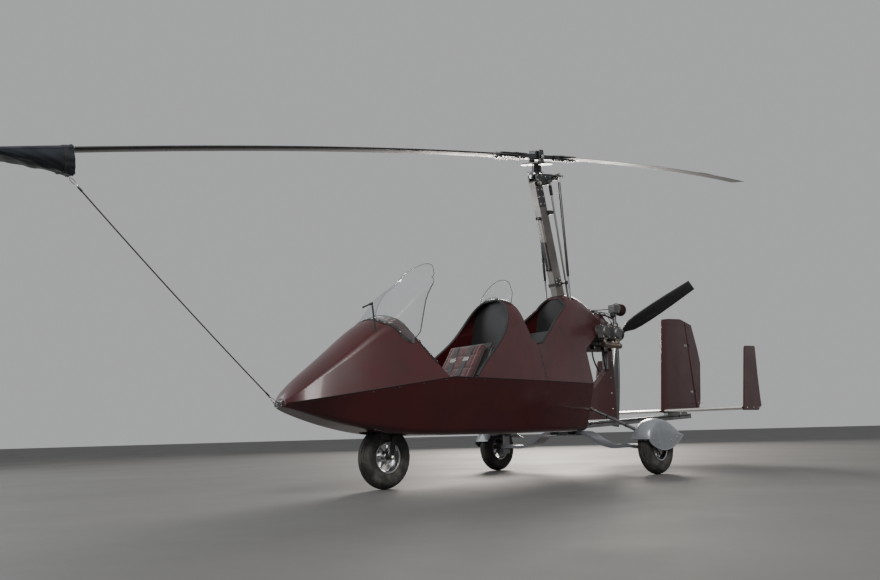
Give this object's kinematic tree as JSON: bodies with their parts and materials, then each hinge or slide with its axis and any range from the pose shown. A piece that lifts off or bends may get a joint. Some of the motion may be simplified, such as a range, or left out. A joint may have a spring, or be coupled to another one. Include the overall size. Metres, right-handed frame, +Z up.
{
  "type": "gyrocopter",
  "caption": "Tandem open-cockpit gyroplane with teetering rotor on a leaning mast, pusher propeller, tricycle gear with mudguards and a finned tail.",
  "frame": {"origin": "on the ground, on the centre plane, under the rotor hub", "axes": "-Y towards the nose, +X to port, +Z up"},
  "size_m": [1.76, 8.2331, 3.4493],
  "materials": {
    "body_paint": "gloss",
    "guard_paint": "gloss",
    "tyre": "matte",
    "rim": "satin",
    "frame_metal": "satin",
    "mast_metal": "satin",
    "blade_metal": "satin",
    "head_metal": "satin",
    "dark_metal": "satin",
    "carbon": "gloss",
    "seat_shell": "matte",
    "seat_cloth": "matte",
    "screen": "gloss",
    "panel": "matte",
    "tail_paint": "gloss",
    "tail_light": "gloss",
    "cover_cloth": "matte",
    "filter": "matte",
    "lamp": "gloss"
  },
  "bodies": {
    "airframe": {"hull": "body_paint", "nose_cowl": "body_paint", "mid_fairing": "body_paint", "rear_cowl": "body_paint", "rear_bulkhead": "panel", "instrument_panels": "panel", "keel": "frame_metal", "keel_saddles": "frame_metal", "seat_shells": "seat_shell", "seat_cushions": "seat_cloth", "seat_backrests": "seat_cloth", "seat_risers": "frame_metal", "front_windscreen": "screen", "rear_windscreen": "screen", "nose_lamps": "lamp", "nose_hook": "dark_metal", "probe": "frame_metal", "steer_head": "frame_metal", "mast": "mast_metal", "gear_bow": "frame_metal", "gear_struts": "frame_metal", "stub_axles": "frame_metal", "brake_calipers": "dark_metal", "mudguards": "guard_paint", "engine_pylon": "body_paint", "engine_block": "dark_metal", "cylinders": "head_metal", "gearbox": "head_metal", "carburettors": "filter", "exhaust": "frame_metal", "stabiliser": "tail_light", "end_fins": "tail_paint", "fin": "tail_paint", "tail_mount": "frame_metal", "control_sticks": "dark_metal", "pedals": "dark_metal"},
    "nose_leg": {"nose_fork": "frame_metal"},
    "nose_wheel": {"nose_rim": "rim", "nose_tyre": "tyre"},
    "left_wheel": {"left_rim": "rim", "left_tyre": "tyre"},
    "right_wheel": {"right_rim": "rim", "right_tyre": "tyre"},
    "rudder": {"rudder": "tail_paint"},
    "propeller": {"prop_hub": "head_metal", "prop_blades": "carbon"},
    "head": {"gimbal": "head_metal"},
    "rods": {"push_rods": "dark_metal"},
    "shaft": {"drive_shaft": "dark_metal"},
    "roll_head": {"bearing_head": "head_metal"},
    "spinner": {"ring_gear": "dark_metal", "teeter_tower": "head_metal"},
    "rotor": {"hub_bar": "head_metal", "blade_front": "blade_metal", "blade_rear": "blade_metal", "tip_cover": "cover_cloth"}
  },
  "joints": [
    {"name": "nose_steer", "type": "hinge", "parent": "airframe", "child": "nose_leg", "pos_m": [0, -1.77, 0.2], "axis": [0, 0.1736, 0.9848], "range_deg": [-25, 25]},
    {"name": "nose_wheel_spin", "type": "hinge", "parent": "nose_leg", "child": "nose_wheel", "pos_m": [0, -1.77, 0.2], "axis": [1, 0, 0], "continuous": true},
    {"name": "left_wheel_spin", "type": "hinge", "parent": "airframe", "child": "left_wheel", "pos_m": [0.805, 0.221, 0.2], "axis": [1, 0, 0], "continuous": true},
    {"name": "right_wheel_spin", "type": "hinge", "parent": "airframe", "child": "right_wheel", "pos_m": [-0.805, 0.221, 0.2], "axis": [1, 0, 0], "continuous": true},
    {"name": "rudder_hinge", "type": "hinge", "parent": "airframe", "child": "rudder", "pos_m": [0, 2.508, 0.555], "axis": [0, -0.1178, 0.993], "range_deg": [-28, 28]},
    {"name": "prop_spin", "type": "hinge", "parent": "airframe", "child": "propeller", "pos_m": [0, 1.087, 1.217], "axis": [0, 1, 0], "continuous": true},
    {"name": "head_pitch", "type": "hinge", "parent": "airframe", "child": "head", "pos_m": [0, -0.03112, 2.455], "axis": [-1, 0, 0], "range_deg": [0, 18]},
    {"name": "rod_hinge", "type": "hinge", "parent": "head", "child": "rods", "pos_m": [0, 0.13609, 2.5437], "axis": [-1, 0, 0], "range_deg": [-18, 0]},
    {"name": "shaft_hinge", "type": "hinge", "parent": "head", "child": "shaft", "pos_m": [0.062, 0.08521, 2.48484], "axis": [-1, 0, 0], "range_deg": [-18, 0]},
    {"name": "head_roll", "type": "hinge", "parent": "head", "child": "roll_head", "pos_m": [0, -0.04526, 2.52151], "axis": [0, -0.9781, -0.2079], "range_deg": [0, 20]},
    {"name": "rotor_spin", "type": "hinge", "parent": "roll_head", "child": "spinner", "pos_m": [0, -0.01298, 2.52838], "axis": [0.2079, -0.2034, 0.9568], "continuous": true},
    {"name": "teeter", "type": "hinge", "parent": "spinner", "child": "rotor", "pos_m": [0.03576, -0.04796, 2.69294], "axis": [0.9781, 0.0432, -0.2034], "range_deg": [-8, 8]}
  ],
  "couplings": [
    {"joint": "rudder_hinge", "follows": "nose_steer", "ratio": -1.1},
    {"joint": "rod_hinge", "follows": "head_pitch", "ratio": -1},
    {"joint": "shaft_hinge", "follows": "head_pitch", "ratio": -1}
  ]
}
